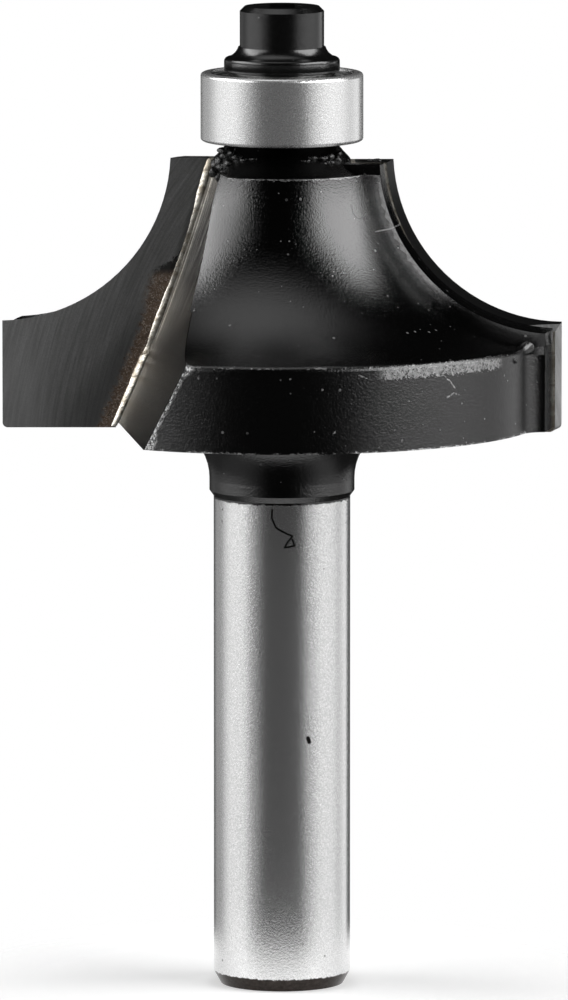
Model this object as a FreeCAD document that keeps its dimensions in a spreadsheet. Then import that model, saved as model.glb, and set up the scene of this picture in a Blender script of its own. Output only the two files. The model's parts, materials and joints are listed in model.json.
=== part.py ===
import FreeCAD, Part
import os
import Sketcher

# Round-over router bit with a guide bearing.
# Millimetres, +Z up the bit's axis, origin at the centre of the shank's end face.
# Flute 1 lies along +X with its rake face towards +Y; the other flutes are turned about the axis.

os.makedirs("parts", exist_ok=True)
document = FreeCAD.newDocument("router_bit")

driving_sizes = {
    # Shank and neck
    "shank_diameter": 8.0,
    "shank_length": 28.85,
    "shank_chamfer_width": 0.4,
    "shank_chamfer_height": 0.72,
    "neck_length": 4.25,
    "neck_lip_width": 0.25,
    "neck_lip_height": 0.35,
    "neck_fillet_radius": 3.2,
    # Cutting profile: a quarter-round that starts outside the guide bearing and ends in a short land
    "cutting_radius": 10.0,
    "quirk_width": 1.75,
    "land_inset": 0.15,
    "land_height": 6.0,
    # Profiled body
    "flange_inset": 1.35,
    "flange_edge_round": 0.3,
    "chip_limit": 1.1,
    "cone_drop": 1.15,
    "flare_radius": 3.8,
    # Carbide tips
    "flute_count": 2,
    "tip_overhang": 0.3,
    "tip_top_drop": 0.45,
    "tip_base_width": 6.37,
    "tip_top_width": 2.26,
    "tip_thickness": 1.5,
    "tip_relief": 0.42,
    "tip_corner_round": 0.3,
    "top_relief_angle": 3.0,
    "rake_offset": 0.3,
    "braze_width": 0.25,
    "braze_thickness": 0.1,
    # Wings
    "wing_setback": 0.22,
    "wing_land_setback": 0.44,
    "trailing_offset": 1.7,
    "trailing_angle": 10.0,
    "wing_root_fillet": 1.35,
    # Gullets, cut with the rim of a large wheel
    "gullet_wheel_radius": 103.0,
    "gullet_sweep_angle": 21.8,
    "gullet_rise_angle": 31.0,
    # Guide bearing
    "bearing_diameter": 9.5,
    "bearing_bore": 4.76,
    "bearing_width": 4.0,
    "seat_rise": 0.6,
    "shoulder_margin": 0.035,
    "bore_clearance": 0.01,
    "land_share": 0.19,
    "ring_edge_round": 0.2,
    "bore_chamfer": 0.15,
    "ball_count": 8,
    "ball_share": 0.633,
    "ball_clearance": 0.04,
    "raceway_clearance": 0.07,
    # Cage
    "cage_play_share": 0.133,
    "pocket_clearance": 0.05,
    "cage_web": 0.15,
    "cage_grip": 0.3,
    # Shields and their snap rings
    "shield_recess": 0.15,
    "shield_seat_depth": 0.17,
    "shield_thickness": 0.15,
    "shield_step": 0.08,
    "shield_rim_width": 0.35,
    "shield_gap": 0.12,
    "snap_ring_thickness": 0.2,
    "snap_ring_width": 0.3,
    "snap_groove_depth": 0.16,
    "snap_ring_clearance": 0.02,
    "snap_ring_opening": 32.0,
    # Spigot, washer and screw
    "spigot_drop": 0.3,
    "spigot_chamfer": 0.2,
    "washer_overlap": 0.265,
    "washer_rim_height": 0.9,
    "washer_rim_round": 0.25,
    "washer_foot_inset": 0.115,
    "washer_undercut": 0.12,
    "washer_hub_margin": 0.09,
    "washer_flare_radius": 0.9,
    "washer_height": 1.5,
    "washer_clearance": 0.1,
    "screw_head_diameter": 4.92,
    "screw_head_height": 2.37,
    "screw_head_bevel": 0.28,
    "screw_diameter": 3.0,
    "screw_length": 10.0,
    "screw_tip_chamfer": 0.4,
    "socket_across_flats": 2.5,
    "socket_depth": 1.4,
    "tapped_hole_spare": 1.3,
    "thread_clearance": 0.03,
}

# Sizes that follow from the driving ones, each a formula of the sheet
following_sizes = {
    "neck_diameter": "shank_diameter + 2 * neck_lip_width",
    "flange_base_height": "shank_length + neck_length",
    "cutting_arc_reach": "bearing_diameter / 2 + quirk_width + cutting_radius",
    "cutting_arc_height": "flange_base_height + land_height + cutting_radius",
    "cutting_diameter": "2 * (cutting_arc_reach - land_inset)",
    "flange_diameter": "cutting_diameter - 2 * flange_inset",
    "cone_top_height": "cutting_arc_height - cone_drop",
    "bearing_seat_height": "cutting_arc_height + seat_rise",
    "tip_base_height": "flange_base_height - tip_overhang",
    "tip_top_height": "cutting_arc_height - tip_top_drop",
    "gullet_base_reach": "cutting_diameter / 2 - tip_base_width",
    "gullet_top_reach": "cutting_arc_reach - sqrt(cutting_radius ^ 2 - tip_top_drop ^ 2) - tip_top_width",
    "bearing_section": "(bearing_diameter - bearing_bore) / 2",
    "ball_pitch_diameter": "(bearing_diameter + bearing_bore) / 2",
    "ball_diameter": "ball_share * bearing_section",
    "raceway_radius": "ball_diameter / 2 + raceway_clearance",
    "outer_land_diameter": "ball_pitch_diameter + 2 * land_share * bearing_section",
    "inner_land_diameter": "ball_pitch_diameter - 2 * land_share * bearing_section",
    "cage_clearance": "cage_play_share * land_share * 2 * bearing_section",
    "shield_seat_diameter": "outer_land_diameter + 2 * shield_seat_depth",
    "shoulder_diameter": "inner_land_diameter + 2 * shoulder_margin",
    "spigot_length": "bearing_width - spigot_drop",
    "washer_diameter": "inner_land_diameter + 2 * washer_overlap",
    "washer_foot_diameter": "inner_land_diameter - 2 * washer_foot_inset",
    "washer_hub_diameter": "screw_head_diameter + 2 * washer_hub_margin",
    "tapped_hole_depth": "screw_length - washer_height - spigot_drop + tapped_hole_spare",
}

sizes = document.addObject("Spreadsheet::Sheet", "sizes")
formulas = {alias: f"={formula}" for alias, formula in following_sizes.items()}
for row, (alias, amount) in enumerate({**driving_sizes, **formulas}.items(), start=1):
    sizes.set(f"A{row}", alias.replace("_", " "))
    sizes.set(f"B{row}", str(amount))
    sizes.setAlias(f"B{row}", alias)
document.recompute()

# How far a cutting outline runs past the solid that it cuts
overcut = 2.0
# How near an edge lies to the place where it is looked for
near = 0.001


def value(expression):
    """The number that an expression of the sheet's cells gives."""
    return float(sizes.evalExpression(str(expression)))


# Sizes worked out from the driving ones, as expressions

shank_radius = "(sizes.shank_diameter / 2)"
neck_radius = "(sizes.neck_diameter / 2)"
flange_radius = "(sizes.flange_diameter / 2)"
cutting_reach = "(sizes.cutting_diameter / 2)"
bore_radius = "(sizes.bearing_bore / 2)"
spigot_radius = f"({bore_radius} - sizes.bore_clearance)"
spigot_top = "(sizes.bearing_seat_height + sizes.spigot_length)"
bearing_top = "(sizes.bearing_seat_height + sizes.bearing_width)"
bearing_middle = "(sizes.bearing_seat_height + sizes.bearing_width / 2)"
ball_radius = "(sizes.ball_diameter / 2)"
pitch_radius = "(sizes.ball_pitch_diameter / 2)"
washer_top = f"({bearing_top} + sizes.washer_height)"
screw_radius = "(sizes.screw_diameter / 2)"


def profile_height(setback, radius):
    """Height of the cutting arc, set back into the body, at a radius from the axis."""
    return (f"(sizes.cutting_arc_height - sqrt((sizes.cutting_radius + {setback}) ^ 2"
            f" - (sizes.cutting_arc_reach - {radius}) ^ 2))")


def profile_radius(setback, height):
    """Radius from the axis of the cutting arc, set back into the body, at a height."""
    return (f"(sizes.cutting_arc_reach - sqrt((sizes.cutting_radius + {setback}) ^ 2"
            f" - (sizes.cutting_arc_height - {height}) ^ 2))")


flange_top = profile_height("sizes.chip_limit", flange_radius)

# The tip's inner edge is an arc of the gullet wheel; these are its angles from the axis at each end
edge_run = "(sizes.gullet_base_reach - sizes.gullet_top_reach)"
edge_rise = "(sizes.tip_top_height - sizes.tip_base_height)"
edge_half_turn = f"asin(sqrt({edge_run} ^ 2 + {edge_rise} ^ 2) / 2 / sizes.gullet_wheel_radius)"
edge_base_angle = f"(atan({edge_run} / {edge_rise}) + {edge_half_turn})"
edge_top_angle = f"(atan({edge_run} / {edge_rise}) - {edge_half_turn})"


def new_body(name):
    body = document.addObject("PartDesign::Body", name)
    body.Label = name
    return body


def origin_feature(body, role):
    return [feature for feature in body.Origin.OriginFeatures if feature.Role == role][0]


def new_sketch(body, name, plane, offset="0"):
    """Sketch on one of the body's own planes, moved along the plane's normal."""
    sketch = body.newObject("Sketcher::SketchObject", name)
    sketch.AttachmentSupport = [(origin_feature(body, plane), "")]
    sketch.MapMode = "FlatFace"
    sketch.setExpression("AttachmentOffset.Base.z", offset)
    return sketch


def arc_geometry(start, end, radius, turn):
    """Arc from start to end that turns left or right on its way, less than half a circle."""
    chord = end - start
    left_of_chord = FreeCAD.Vector(-chord.y, chord.x, 0).normalize()
    side = 1 if turn == "left" else -1
    rise = (radius ** 2 - (chord.Length / 2) ** 2) ** 0.5
    centre = (start + end) * 0.5 + left_of_chord * (side * rise)
    first, last = (start, end) if turn == "left" else (end, start)
    circle = Part.Circle(centre, FreeCAD.Vector(0, 0, 1), radius)
    return Part.ArcOfCircle(circle, circle.parameter(first), circle.parameter(last))


def hold_point(sketch, edge, point, across, up, number):
    """Fixes a point of a sketch by two named distances from the sketch's origin."""
    for kind, name, axis, expression in (
        ("DistanceX", f"across_{number}", -2, across),
        ("DistanceY", f"up_{number}", -1, up),
    ):
        if abs(value(expression)) < 1e-9:
            sketch.addConstraint(Sketcher.Constraint("PointOnObject", edge, point, axis))
        else:
            held = sketch.addConstraint(Sketcher.Constraint(kind, edge, point, value(expression)))
            sketch.renameConstraint(held, name)
            sketch.setExpression(f"Constraints.{name}", expression)


def draw_outline(sketch, corners):
    """Closed outline through corners (across, up). Where a corner also gives a radius and a turn,
    the edge that leaves it is an arc of that radius, turning left or right."""
    spots = [FreeCAD.Vector(value(corner[0]), value(corner[1]), 0) for corner in corners]
    starts = []
    ends = []
    for number, corner in enumerate(corners):
        spot = spots[number]
        following = spots[(number + 1) % len(corners)]
        if len(corner) > 2:
            radius, turn = corner[2:]
            edge = sketch.addGeometry(arc_geometry(spot, following, value(radius), turn), False)
            starts.append((edge, 1 if turn == "left" else 2))
            ends.append((edge, 2 if turn == "left" else 1))
            held = sketch.addConstraint(Sketcher.Constraint("Radius", edge, value(radius)))
            sketch.renameConstraint(held, f"bend_{number}")
            sketch.setExpression(f"Constraints.bend_{number}", radius)
        else:
            edge = sketch.addGeometry(Part.LineSegment(spot, following), False)
            starts.append((edge, 1))
            ends.append((edge, 2))
    for number, corner in enumerate(corners):
        sketch.addConstraint(Sketcher.Constraint("Coincident", *ends[number - 1], *starts[number]))
        hold_point(sketch, *starts[number], corner[0], corner[1], number)


def revolved(body, name, corners, angle=None):
    """Revolves an outline of (radius, height) corners about the axis, all round or by an angle."""
    sketch = new_sketch(body, f"{name}_outline", "XZ_Plane")
    draw_outline(sketch, corners)
    feature = body.newObject("PartDesign::Revolution", name)
    feature.Profile = sketch
    feature.ReferenceAxis = (sketch, ["V_Axis"])
    feature.Angle = 360
    if angle is not None:
        feature.setExpression("Angle", angle)
    document.recompute()
    return feature


def patterned(body, name, features, count):
    """Repeats features of a body evenly about the axis."""
    pattern = body.newObject("PartDesign::PolarPattern", name)
    pattern.Originals = features
    pattern.Axis = (origin_feature(body, "Z_Axis"), [""])
    pattern.Angle = 360
    pattern.setExpression("Occurrences", count)
    body.Tip = pattern
    document.recompute()
    return pattern


def turn_to_flute(body, number):
    """Turns a body that is modelled at flute 1 to the flute with the number given."""
    body.Placement = FreeCAD.Placement(FreeCAD.Vector(), FreeCAD.Rotation(FreeCAD.Vector(0, 0, 1), 0))
    body.setExpression("Placement.Rotation.Angle", f"360 / sizes.flute_count * {number - 1}")


# Cutter body: shank, neck, flange, profiled body, wings and spigot from one bar of steel


def gullet_outline(margin):
    """What lies outside the tip's inner edge, with the edge moved towards the axis by a margin."""
    foot_depth = f"({cutting_reach} * tan(sizes.gullet_rise_angle) + {overcut})"
    far = f"({cutting_reach} * (1 + tan(sizes.gullet_sweep_angle)) + {overcut})"
    foot = f"(sizes.tip_base_height - {foot_depth})"
    head = f"(sizes.tip_top_height + {overcut})"
    edge_base = f"(sizes.gullet_base_reach - {margin})"
    edge_top = f"(sizes.gullet_top_reach - {margin})"
    return [
        (f"{edge_base} + {foot_depth} * tan({edge_base_angle})", foot),
        (far, foot),
        (far, head),
        (f"{edge_top} - {overcut} * tan({edge_top_angle})", head),
        (edge_top, "sizes.tip_top_height", "sizes.gullet_wheel_radius", "left"),
        (edge_base, "sizes.tip_base_height"),
    ]


def is_wing_root(edge):
    """Whether an edge runs where a wing's trailing face steps out of the flange or the profiled body."""
    middle = edge.valueAt((edge.FirstParameter + edge.LastParameter) / 2)
    low = value("sizes.flange_base_height")
    high = value("sizes.cone_top_height")
    if not low + near < middle.z < high - near:
        return False
    body_radius = value(flange_radius)
    if middle.z > value(flange_top):
        body_radius = value(profile_radius("sizes.chip_limit", middle.z))
    if abs((middle.x ** 2 + middle.y ** 2) ** 0.5 - body_radius) > near:
        return False
    flute_count = int(value("sizes.flute_count"))
    for number in range(flute_count):
        back_to_first = FreeCAD.Rotation(FreeCAD.Vector(0, 0, 1), -360 / flute_count * number)
        spot = back_to_first.multVec(middle)
        trailing = -value(f"sizes.trailing_offset + {spot.x} * tan(sizes.trailing_angle)")
        if spot.x > 0 and abs(spot.y - trailing) < near:
            return True
    return False


def is_flange_rim(edge):
    """Whether an edge is a long level arc round the top of the flange."""
    level = edge.BoundBox.ZLength < near and abs(edge.BoundBox.ZMax - value(flange_top)) < near
    return level and edge.Length > value(f"{flange_radius} / 3")


def edges_where(feature, wanted):
    """Names of a feature's edges for which a test holds."""
    return [f"Edge{number}" for number, edge in enumerate(feature.Shape.Edges, start=1) if wanted(edge)]


def relieve_top(body, name):
    """Grinds the top of a wing, a tip or a seam so that it falls away behind the rake face."""
    far = f"({cutting_reach} + {overcut})"
    fall = f"({far} - sizes.rake_offset) * tan(sizes.top_relief_angle)"
    above = f"sizes.tip_top_height + {overcut}"
    sketch = new_sketch(body, f"{name}_outline", "YZ_Plane")
    draw_outline(sketch, [
        (f"-{far}", f"sizes.tip_top_height - {fall}"),
        ("-sizes.rake_offset", "sizes.tip_top_height"),
        ("-sizes.rake_offset", above),
        (f"-{far}", above),
    ])
    ground = body.newObject("PartDesign::Pocket", name)
    ground.Profile = sketch
    ground.Reversed = True
    ground.setExpression("Length", f"{far} + {overcut}")
    document.recompute()
    return ground


def build_cutter_body():
    body = new_body("cutter_body")

    # Wing stock: a slab behind each rake face, wider towards the outside
    wing_sketch = new_sketch(body, "wing_plan", "XY_Plane", "sizes.flange_base_height")
    wing_start = spigot_radius
    wing_end = f"({cutting_reach} + {overcut})"
    draw_outline(wing_sketch, [
        (wing_start, f"-sizes.trailing_offset - {wing_start} * tan(sizes.trailing_angle)"),
        (wing_end, f"-sizes.trailing_offset - {wing_end} * tan(sizes.trailing_angle)"),
        (wing_end, "-sizes.rake_offset"),
        (wing_start, "-sizes.rake_offset"),
    ])
    wing = body.newObject("PartDesign::Pad", "wing_stock")
    wing.Profile = wing_sketch
    wing.setExpression("Length", "sizes.tip_top_height - sizes.flange_base_height")
    document.recompute()
    wing_top = relieve_top(body, "wing_top")
    patterned(body, "wing_stocks", [wing, wing_top], "sizes.flute_count")

    # The turned core joins the wings
    neck_fillet = "sizes.neck_fillet_radius"
    cone_top = "sizes.cone_top_height"
    seat = "sizes.bearing_seat_height"
    revolved(body, "turned_core", [
        ("0", "0"),
        (f"{shank_radius} - sizes.shank_chamfer_width", "0"),
        (shank_radius, "sizes.shank_chamfer_height"),
        (shank_radius, "sizes.shank_length"),
        (neck_radius, "sizes.shank_length + sizes.neck_lip_height"),
        (neck_radius, f"sizes.flange_base_height - {neck_fillet}", neck_fillet, "right"),
        (f"{neck_radius} + {neck_fillet}", "sizes.flange_base_height"),
        (flange_radius, "sizes.flange_base_height"),
        (flange_radius, flange_top, "sizes.cutting_radius + sizes.chip_limit", "right"),
        (profile_radius("sizes.chip_limit", cone_top), cone_top, "sizes.flare_radius", "right"),
        ("sizes.shoulder_diameter / 2", seat),
        (spigot_radius, seat),
        (spigot_radius, f"{spigot_top} - sizes.spigot_chamfer"),
        (f"{spigot_radius} - sizes.spigot_chamfer", spigot_top),
        ("0", spigot_top),
    ])

    # Seats for the tips, then the gullets in front of them
    rake_sketch = new_sketch(body, "seat_outline", "XZ_Plane", "sizes.rake_offset")
    draw_outline(rake_sketch, gullet_outline("sizes.braze_width"))
    seat_cut = body.newObject("PartDesign::Pocket", "tip_seat")
    seat_cut.Profile = rake_sketch
    seat_cut.Reversed = True
    seat_cut.setExpression("Length", "sizes.tip_thickness + sizes.braze_thickness")
    document.recompute()
    gullet_sketch = new_sketch(body, "gullet_profile", "XZ_Plane", "sizes.rake_offset")
    draw_outline(gullet_sketch, gullet_outline("sizes.braze_width"))
    gullet = body.newObject("PartDesign::Pocket", "gullet")
    gullet.Profile = gullet_sketch
    gullet.UseCustomVector = True
    gullet.setExpression("Direction.x", "-tan(sizes.gullet_sweep_angle)")
    gullet.setExpression("Direction.y", "1")
    gullet.setExpression("Direction.z", "tan(sizes.gullet_rise_angle)")
    gullet.AlongSketchNormal = True
    gullet.setExpression("Length", f"{cutting_reach} + {overcut}")
    document.recompute()
    flutes_cut = patterned(body, "flutes", [seat_cut, gullet], "sizes.flute_count")

    # Fillets where the wings' trailing faces step out of the core
    fillet = body.newObject("PartDesign::Fillet", "wing_roots")
    fillet.Base = (flutes_cut, edges_where(flutes_cut, is_wing_root))
    fillet.setExpression("Radius", "sizes.wing_root_fillet")
    document.recompute()

    # The wings are turned to the cutting profile, set back so that only the carbide cuts
    setback = "sizes.wing_setback"
    land_radius = f"({cutting_reach} - sizes.wing_land_setback)"
    top_radius = profile_radius(setback, "sizes.tip_top_height")
    turning_sketch = new_sketch(body, "wing_turning_outline", "XZ_Plane")
    draw_outline(turning_sketch, [
        (land_radius, f"sizes.flange_base_height - {overcut}"),
        (f"{cutting_reach} + 2 * {overcut}", f"sizes.flange_base_height - {overcut}"),
        (f"{cutting_reach} + 2 * {overcut}", f"sizes.tip_top_height + {overcut}"),
        (top_radius, f"sizes.tip_top_height + {overcut}"),
        (top_radius, "sizes.tip_top_height", f"sizes.cutting_radius + {setback}", "left"),
        (land_radius, profile_height(setback, land_radius)),
    ])
    turning = body.newObject("PartDesign::Groove", "wing_turning")
    turning.Profile = turning_sketch
    turning.ReferenceAxis = (turning_sketch, ["V_Axis"])
    turning.Angle = 360
    document.recompute()

    # The flange's upper edge is broken between the wings
    rim = body.newObject("PartDesign::Fillet", "flange_rim")
    rim.Base = (turning, edges_where(turning, is_flange_rim))
    rim.setExpression("Radius", "sizes.flange_edge_round")
    document.recompute()

    # Tapped hole down the spigot
    hole_sketch = new_sketch(body, "tapped_hole_place", "XY_Plane", spigot_top)
    hole_circle = Part.Circle(FreeCAD.Vector(), FreeCAD.Vector(0, 0, 1), value(screw_radius))
    hole_sketch.addGeometry(hole_circle, False)
    hole_sketch.addConstraint(Sketcher.Constraint("Coincident", 0, 3, -1, 1))
    hole_sketch.addConstraint(Sketcher.Constraint("Radius", 0, value(screw_radius)))
    hole_sketch.renameConstraint(1, "hole_radius")
    hole_sketch.setExpression("Constraints.hole_radius", f"{screw_radius} + sizes.thread_clearance")
    hole = body.newObject("PartDesign::Hole", "tapped_hole")
    hole.Profile = hole_sketch
    document.recompute()
    hole.DepthType = "Dimension"
    hole.DrillPoint = "Angled"
    hole.setExpression("Diameter", "sizes.screw_diameter + 2 * sizes.thread_clearance")
    hole.setExpression("Depth", "sizes.tapped_hole_depth")
    body.Tip = hole
    document.recompute()
    return body


# Carbide tips and the braze that holds them


def tip_outline(setback):
    """Outline of a tip at a setback from its cutting edge: land, round-over arc, top and inner edge."""
    land = f"({cutting_reach} - {setback})"
    corner = "sizes.tip_corner_round"
    base = "sizes.tip_base_height"
    top = "sizes.tip_top_height"
    return [
        ("sizes.gullet_base_reach", base),
        (f"{land} - {corner}", base, corner, "left"),
        (land, f"{base} + {corner}"),
        (land, profile_height(setback, land), f"sizes.cutting_radius + {setback}", "right"),
        (profile_radius(setback, top), top),
        ("sizes.gullet_top_reach", top, "sizes.gullet_wheel_radius", "left"),
    ]


def build_carbide_tip(number):
    """A tip from its rake face back to its relieved back face."""
    body = new_body(f"carbide_tip_{number}")
    front = new_sketch(body, f"tip_{number}_front", "XZ_Plane", "sizes.rake_offset")
    draw_outline(front, tip_outline("0"))
    back = new_sketch(body, f"tip_{number}_back", "XZ_Plane", "sizes.rake_offset + sizes.tip_thickness")
    draw_outline(back, tip_outline("sizes.tip_relief"))
    document.recompute()
    loft = body.newObject("PartDesign::AdditiveLoft", f"tip_{number}_relief")
    loft.Profile = front
    loft.Sections = [back]
    loft.Ruled = True
    document.recompute()
    relieve_top(body, f"tip_{number}_top")
    turn_to_flute(body, number)
    return body


def build_braze_seam(number):
    """Braze along the tip's inner edge and behind its back face, one run of filler."""
    body = new_body(f"braze_seam_{number}")
    base = "sizes.tip_base_height"
    top = "sizes.tip_top_height"
    wheel = "sizes.gullet_wheel_radius"
    bead_sketch = new_sketch(body, f"seam_{number}_bead", "XZ_Plane", "sizes.rake_offset")
    draw_outline(bead_sketch, [
        ("sizes.gullet_base_reach - sizes.braze_width", base),
        ("sizes.gullet_base_reach", base, wheel, "right"),
        ("sizes.gullet_top_reach", top),
        ("sizes.gullet_top_reach - sizes.braze_width", top, wheel, "left"),
    ])
    bead = body.newObject("PartDesign::Pad", f"seam_{number}_edge")
    bead.Profile = bead_sketch
    bead.setExpression("Length", "sizes.tip_thickness + sizes.braze_thickness")
    document.recompute()
    tip_back = "sizes.rake_offset + sizes.tip_thickness"
    film_sketch = new_sketch(body, f"seam_{number}_film", "XZ_Plane", tip_back)
    draw_outline(film_sketch, tip_outline("sizes.tip_relief"))
    film = body.newObject("PartDesign::Pad", f"seam_{number}_back")
    film.Profile = film_sketch
    film.setExpression("Length", "sizes.braze_thickness")
    document.recompute()
    relieve_top(body, f"seam_{number}_top")
    turn_to_flute(body, number)
    return body


# Guide bearing

shield_seat_radius = "(sizes.shield_seat_diameter / 2)"
outer_land = "(sizes.outer_land_diameter / 2)"
inner_land = "(sizes.inner_land_diameter / 2)"
snap_depth = "(sizes.shield_recess + sizes.snap_ring_thickness)"
shoulder_depth = f"({snap_depth} + sizes.shield_thickness)"
# Centre of each raceway's section, from the axis
outer_race_centre = f"({pitch_radius} + {ball_radius} + sizes.ball_clearance - sizes.raceway_radius)"
inner_race_centre = f"({pitch_radius} - {ball_radius} - sizes.ball_clearance + sizes.raceway_radius)"
outer_race_half = f"sqrt(sizes.raceway_radius ^ 2 - ({outer_land} - {outer_race_centre}) ^ 2)"
inner_race_half = f"sqrt(sizes.raceway_radius ^ 2 - ({inner_race_centre} - {inner_land}) ^ 2)"


def build_outer_ring():
    body = new_body("bearing_outer_ring")
    rim = "(sizes.bearing_diameter / 2)"
    edge = "sizes.ring_edge_round"
    base = "sizes.bearing_seat_height"
    groove = f"{shield_seat_radius} + sizes.snap_groove_depth"
    revolved(body, "outer_ring_turned", [
        (shield_seat_radius, base),
        (f"{rim} - {edge}", base, edge, "left"),
        (rim, f"{base} + {edge}"),
        (rim, f"{bearing_top} - {edge}", edge, "left"),
        (f"{rim} - {edge}", bearing_top),
        (shield_seat_radius, bearing_top),
        (shield_seat_radius, f"{bearing_top} - sizes.shield_recess"),
        (groove, f"{bearing_top} - sizes.shield_recess"),
        (groove, f"{bearing_top} - {snap_depth}"),
        (shield_seat_radius, f"{bearing_top} - {snap_depth}"),
        (shield_seat_radius, f"{bearing_top} - {shoulder_depth}"),
        (outer_land, f"{bearing_top} - {shoulder_depth}"),
        (outer_land, f"{bearing_middle} + {outer_race_half}", "sizes.raceway_radius", "right"),
        (outer_land, f"{bearing_middle} - {outer_race_half}"),
        (outer_land, f"{base} + {shoulder_depth}"),
        (shield_seat_radius, f"{base} + {shoulder_depth}"),
        (shield_seat_radius, f"{base} + {snap_depth}"),
        (groove, f"{base} + {snap_depth}"),
        (groove, f"{base} + sizes.shield_recess"),
        (shield_seat_radius, f"{base} + sizes.shield_recess"),
    ])
    return body


def build_inner_ring():
    body = new_body("bearing_inner_ring")
    base = "sizes.bearing_seat_height"
    chamfer = "sizes.bore_chamfer"
    revolved(body, "inner_ring_turned", [
        (f"{bore_radius} + {chamfer}", base),
        (inner_land, base),
        (inner_land, f"{bearing_middle} - {inner_race_half}", "sizes.raceway_radius", "right"),
        (inner_land, f"{bearing_middle} + {inner_race_half}"),
        (inner_land, bearing_top),
        (f"{bore_radius} + {chamfer}", bearing_top),
        (bore_radius, f"{bearing_top} - {chamfer}"),
        (bore_radius, f"{base} + {chamfer}"),
    ])
    return body


def build_ball(number):
    ball = document.addObject("Part::Sphere", f"bearing_ball_{number}")
    ball.Label = f"bearing_ball_{number}"
    around = f"360 / sizes.ball_count * {number - 1}"
    ball.setExpression("Radius", ball_radius)
    ball.setExpression("Placement.Base.x", f"{pitch_radius} * cos({around})")
    ball.setExpression("Placement.Base.y", f"{pitch_radius} * sin({around})")
    ball.setExpression("Placement.Base.z", bearing_middle)
    return ball


def build_cage():
    """Crown cage: a ring between the lands, with a pocket for each ball that opens upwards."""
    body = new_body("bearing_cage")
    inside = f"{inner_land} + sizes.cage_clearance"
    outside = f"{outer_land} - sizes.cage_clearance"
    pocket_radius = f"({ball_radius} + sizes.pocket_clearance)"
    base = f"{bearing_middle} - {pocket_radius} - sizes.cage_web"
    top = f"{bearing_middle} + sizes.cage_grip"
    revolved(body, "cage_ring", [(inside, base), (outside, base), (outside, top), (inside, top)])
    pocket = body.newObject("PartDesign::SubtractiveSphere", "ball_pocket")
    pocket.AttachmentSupport = [(origin_feature(body, "XY_Plane"), "")]
    pocket.MapMode = "FlatFace"
    pocket.setExpression("AttachmentOffset.Base.x", pitch_radius)
    pocket.setExpression("AttachmentOffset.Base.z", bearing_middle)
    pocket.setExpression("Radius", pocket_radius)
    document.recompute()
    patterned(body, "ball_pockets", [pocket], "sizes.ball_count")
    return body


def build_shield(side):
    """Pressed shield, seated on the outer ring's shoulder, its middle stepped outwards."""
    body = new_body(f"bearing_shield_{side}")
    face, out = (bearing_top, "-") if side == "top" else ("sizes.bearing_seat_height", "+")
    bore = f"({inner_land} + sizes.shield_gap)"
    rim_inside = f"({shield_seat_radius} - sizes.shield_rim_width)"
    deep = f"{face} {out} {shoulder_depth}"
    shallow = f"{face} {out} {snap_depth}"
    step = "sizes.shield_step"
    lift = "+" if side == "top" else "-"
    corners = [
        (bore, f"{deep} {lift} {step}"),
        (f"{rim_inside} - {step}", f"{deep} {lift} {step}"),
        (rim_inside, deep),
        (shield_seat_radius, deep),
        (shield_seat_radius, shallow),
        (rim_inside, shallow),
        (f"{rim_inside} - {step}", f"{shallow} {lift} {step}"),
        (bore, f"{shallow} {lift} {step}"),
    ]
    revolved(body, f"shield_{side}_pressed", corners)
    return body


def build_snap_ring(side):
    """Open spring ring in the outer ring's groove, against the shield."""
    body = new_body(f"shield_snap_ring_{side}")
    face, out = (bearing_top, "-") if side == "top" else ("sizes.bearing_seat_height", "+")
    outside = f"({shield_seat_radius} + sizes.snap_groove_depth - sizes.snap_ring_clearance)"
    inside = f"{outside} - sizes.snap_ring_width"
    deep = f"{face} {out} {snap_depth}"
    shallow = f"{face} {out} (sizes.shield_recess + sizes.snap_ring_clearance)"
    revolved(body, f"snap_ring_{side}_bent", [
        (inside, deep),
        (outside, deep),
        (outside, shallow),
        (inside, shallow),
    ], "360 - sizes.snap_ring_opening")
    return body


# What holds the bearing


def build_washer():
    body = new_body("retaining_washer")
    bore = f"{screw_radius} + sizes.washer_clearance"
    rim = "sizes.washer_diameter / 2"
    rim_round = "sizes.washer_rim_round"
    foot = "sizes.washer_foot_diameter / 2"
    hub = "sizes.washer_hub_diameter / 2"
    rim_top = f"{bearing_top} + sizes.washer_rim_height"
    revolved(body, "washer_turned", [
        (bore, bearing_top),
        (foot, bearing_top),
        (foot, f"{bearing_top} + sizes.washer_undercut"),
        (rim, f"{bearing_top} + sizes.washer_undercut"),
        (rim, f"{rim_top} - {rim_round}", rim_round, "left"),
        (f"{rim} - {rim_round}", rim_top, "sizes.washer_flare_radius", "right"),
        (hub, washer_top),
        (bore, washer_top),
    ])
    return body


def build_cap_screw():
    body = new_body("cap_screw")
    head = "sizes.screw_head_diameter / 2"
    bevel = "sizes.screw_head_bevel"
    tip = f"{washer_top} - sizes.screw_length"
    head_top = f"{washer_top} + sizes.screw_head_height"
    revolved(body, "screw_turned", [
        ("0", tip),
        (f"{screw_radius} - sizes.screw_tip_chamfer", tip),
        (screw_radius, f"{tip} + sizes.screw_tip_chamfer"),
        (screw_radius, washer_top),
        (head, washer_top),
        (head, f"{head_top} - {bevel}"),
        (f"{head} - {bevel}", head_top),
        ("0", head_top),
    ])
    socket_sketch = new_sketch(body, "socket_outline", "XY_Plane", head_top)
    corner_radius = "sizes.socket_across_flats / sqrt(3)"
    draw_outline(socket_sketch, [
        (f"{corner_radius} * cos({around})", f"{corner_radius} * sin({around})")
        for around in range(0, 360, 60)
    ])
    socket = body.newObject("PartDesign::Pocket", "socket")
    socket.Profile = socket_sketch
    socket.setExpression("Length", "sizes.socket_depth")
    document.recompute()
    return body


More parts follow.
